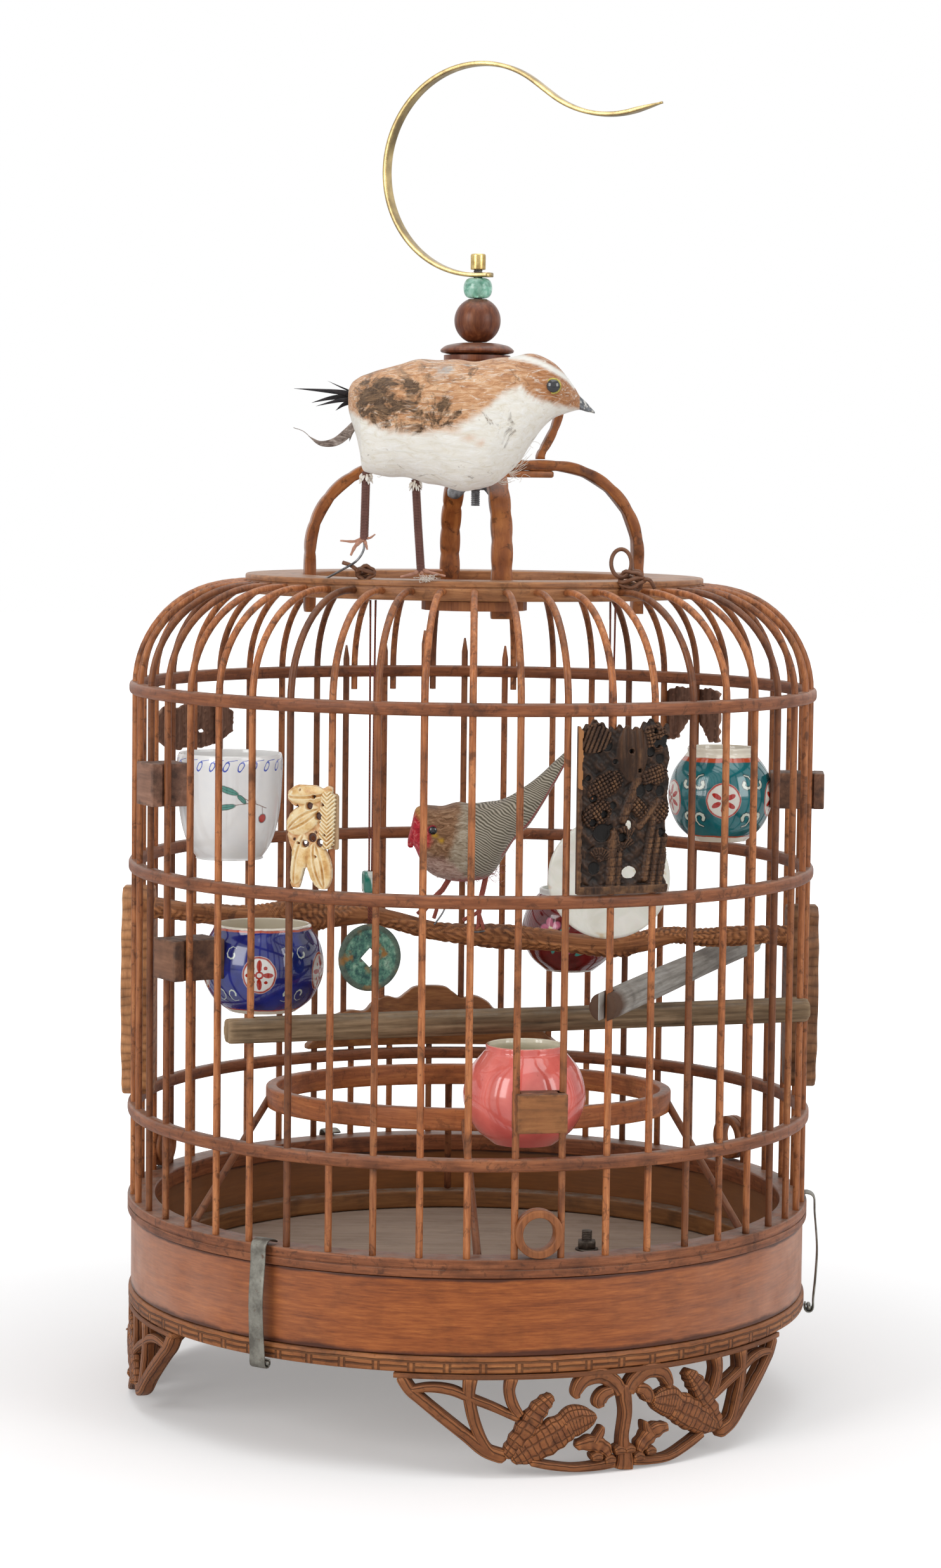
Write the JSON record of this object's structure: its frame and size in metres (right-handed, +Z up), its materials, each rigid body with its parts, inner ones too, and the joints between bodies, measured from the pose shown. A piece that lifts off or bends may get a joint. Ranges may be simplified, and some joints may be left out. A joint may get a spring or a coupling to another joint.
{
  "type": "bird cage",
  "caption": "round bamboo bird cage with drilled hoops, a bar-hung sliding door, carved feet, crown with a hook, perches, feeding cups, plaques, pendants and model birds",
  "frame": {"origin": "centre of the round base, on the surface that the feet stand on", "axes": "+Z up, -Y toward the viewer of the picture, +X to its right; the sliding door is at +Y"},
  "size_m": [0.3084, 0.3034, 0.5845],
  "materials": {
    "bamboo": "old reddish brown bamboo, oiled, with dark mottling and dust",
    "dark_bamboo": "dark brown carved bamboo",
    "dusty_wood": "brown board under grey dust",
    "grey_perch": "fluted grey olive wood",
    "pale_perch": "fluted pale grey wood",
    "red_wood": "polished reddish brown hardwood",
    "brass": "aged brass",
    "steel": "dull grey steel",
    "green_glass": "cloudy green glass",
    "pink_glaze": "glossy salmon pink glaze",
    "teal_glaze": "teal enamel over glaze",
    "blue_glaze": "deep blue glaze",
    "red_glaze": "dark red glaze",
    "white_glaze": "white glaze with blue drawing",
    "ivory": "yellowed bone or resin",
    "patina": "green brown patina",
    "shell": "pale polished shell",
    "cord": "red brown twisted cord",
    "buff_feather": "buff and brown feathers over cotton",
    "grey_feather": "grey brown feathers over cotton"
  },
  "bodies": {
    "cage": {"bottom_rim": "bamboo", "drum_wall": "bamboo", "inner_ledge": "bamboo", "upper_hoop": "bamboo", "middle_hoop": "bamboo", "lower_hoop": "bamboo", "sill_hoop": "bamboo", "top_ring": "bamboo", "ring_board": "bamboo", "side_arch": "bamboo", "front_arch": "bamboo", "side_bow": "bamboo", "front_bow": "bamboo", "stage_ring": "bamboo", "front_rib_ring": "bamboo", "left_rib_ring": "bamboo", "right_rib_ring": "bamboo", "right_foot": "dark_bamboo", "left_foot": "dark_bamboo", "back_foot": "dark_bamboo", "cap_plate": "dark_bamboo", "white_cup_block": "dark_bamboo", "blue_bowl_block": "dark_bamboo", "teal_pot_block": "dark_bamboo", "red_pot_block": "dark_bamboo", "pink_pot_block": "dark_bamboo", "floor_board": "dusty_wood", "long_perch": "grey_perch", "short_perch": "pale_perch", "branch_perch": "red_wood", "left_plate": "red_wood", "right_plate": "red_wood", "cap_disc": "red_wood", "wood_ball": "red_wood", "dark_plaque": "red_wood", "left_plaque": "red_wood", "right_plaque": "red_wood", "hook_bolt": "brass", "floor_bolt": "steel", "glass_bead": "green_glass", "pink_pot": "pink_glaze", "teal_pot": "teal_glaze", "blue_bowl": "blue_glaze", "red_pot": "red_glaze", "white_cup": "white_glaze", "ivory_plaque": "ivory", "top_bird": "buff_feather", "perch_bird": "grey_feather"},
    "hook_body": {"hook": "brass"},
    "wing_nut_body": {"wing_nut": "steel"},
    "door_body": {"sliding_door": "red_wood"},
    "coin_body": {"coin": "patina", "coin_bead": "red_wood", "coin_cord": "cord"},
    "disc_body": {"shell_disc": "shell", "disc_cord": "cord"},
    "left_clip_body": {"left_clip": "steel"},
    "right_clip_body": {"right_clip": "steel"},
    "back_clip_body": {"back_clip": "steel"}
  },
  "joints": [
    {"name": "hook_swivel", "type": "hinge", "parent": "cage", "child": "hook_body", "pos_m": [0, 0, 0.4925], "axis": [0, 0, 1], "continuous": true},
    {"name": "wing_nut_turn", "type": "hinge", "parent": "cage", "child": "wing_nut_body", "pos_m": [0, 0, 0.402], "axis": [0, 0, 1], "continuous": true},
    {"name": "door_slide", "type": "slide", "parent": "cage", "child": "door_body", "axis": [0, 0, 1], "range_m": [0, 0.066]},
    {"name": "coin_swing", "type": "hinge", "parent": "cage", "child": "coin_body", "pos_m": [-0.042, -0.085, 0.3539], "axis": [1, 0, 0], "range_deg": [-8, 8]},
    {"name": "disc_swing", "type": "hinge", "parent": "cage", "child": "disc_body", "pos_m": [0.058, -0.0735, 0.3539], "axis": [1, 0, 0], "range_deg": [-8, 8]},
    {"name": "left_clip_swing", "type": "hinge", "parent": "cage", "child": "left_clip_body", "pos_m": [-0.08434, -0.12622, 0.0418], "axis": [0.8315, -0.5556, 0], "range_deg": [0, 40]},
    {"name": "right_clip_swing", "type": "hinge", "parent": "cage", "child": "right_clip_body", "pos_m": [0.15147, -0.00993, 0.0418], "axis": [0.0654, 0.9979, 0], "range_deg": [0, 40]},
    {"name": "back_clip_swing", "type": "hinge", "parent": "cage", "child": "back_clip_body", "pos_m": [-0.06714, 0.13614, 0.0418], "axis": [-0.8969, -0.4423, 0], "range_deg": [0, 40]}
  ]
}
